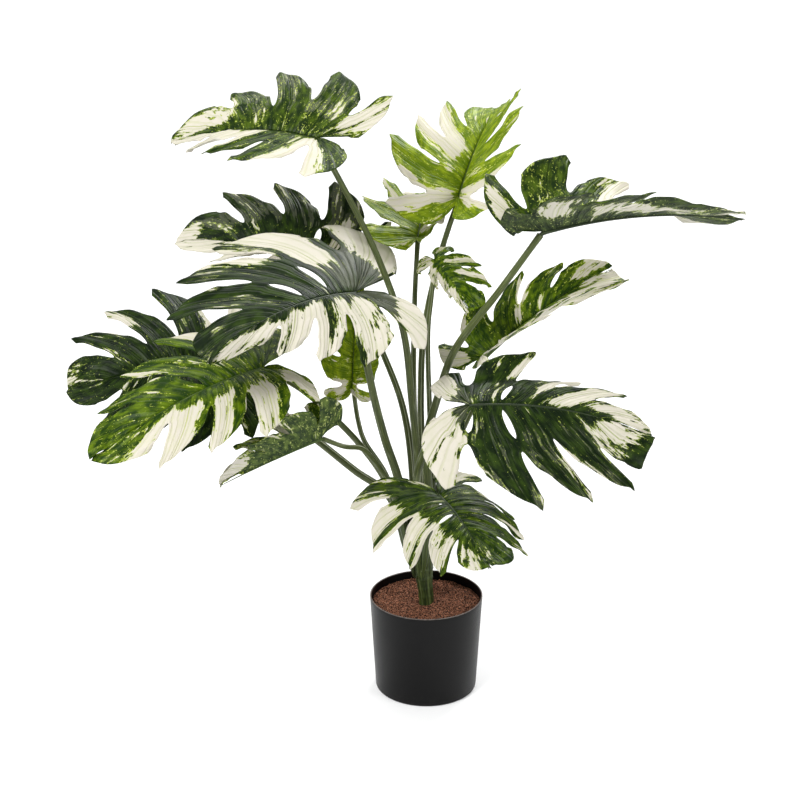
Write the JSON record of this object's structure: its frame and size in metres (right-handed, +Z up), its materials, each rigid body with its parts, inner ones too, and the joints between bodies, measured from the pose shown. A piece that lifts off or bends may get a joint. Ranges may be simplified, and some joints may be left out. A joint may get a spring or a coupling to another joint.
{
  "type": "potted variegated monstera",
  "caption": "Variegated split-leaf houseplant: broad slit leaves on long stalks that rise from one short cane, in a round tapered nursery pot filled with soil.",
  "frame": {"origin": "middle of the pot's flat underside, on the surface it stands on", "axes": "+Z up; +X to the right and +Y away from the viewer, as the plant is seen in the picture"},
  "size_m": [0.8562, 0.4465, 0.8209],
  "materials": {
    "blade": "satin",
    "stalk": "satin",
    "cane": "matte",
    "soil": "matte",
    "pot": "satin"
  },
  "bodies": {
    "root": {"pot": "pot", "soil": "soil", "crown": "cane", "stalk_top_left": "stalk", "stalk_top_middle": "stalk", "stalk_top_right": "stalk", "stalk_back_middle": "stalk", "stalk_upper_left": "stalk", "stalk_middle_left": "stalk", "stalk_low_left_front": "stalk", "stalk_low_left_back": "stalk", "stalk_inner_left": "stalk", "stalk_bottom_left": "stalk", "stalk_inner_right": "stalk", "stalk_middle_right": "stalk", "stalk_low_right": "stalk", "stalk_front_low": "stalk", "blade_top_left": "blade", "blade_top_middle": "blade", "blade_top_right": "blade", "blade_back_middle": "blade", "blade_upper_left": "blade", "blade_middle_left": "blade", "blade_low_left_front": "blade", "blade_low_left_back": "blade", "blade_inner_left": "blade", "blade_bottom_left": "blade", "blade_inner_right": "blade", "blade_middle_right": "blade", "blade_low_right": "blade", "blade_front_low": "blade"}
  },
  "joints": []
}
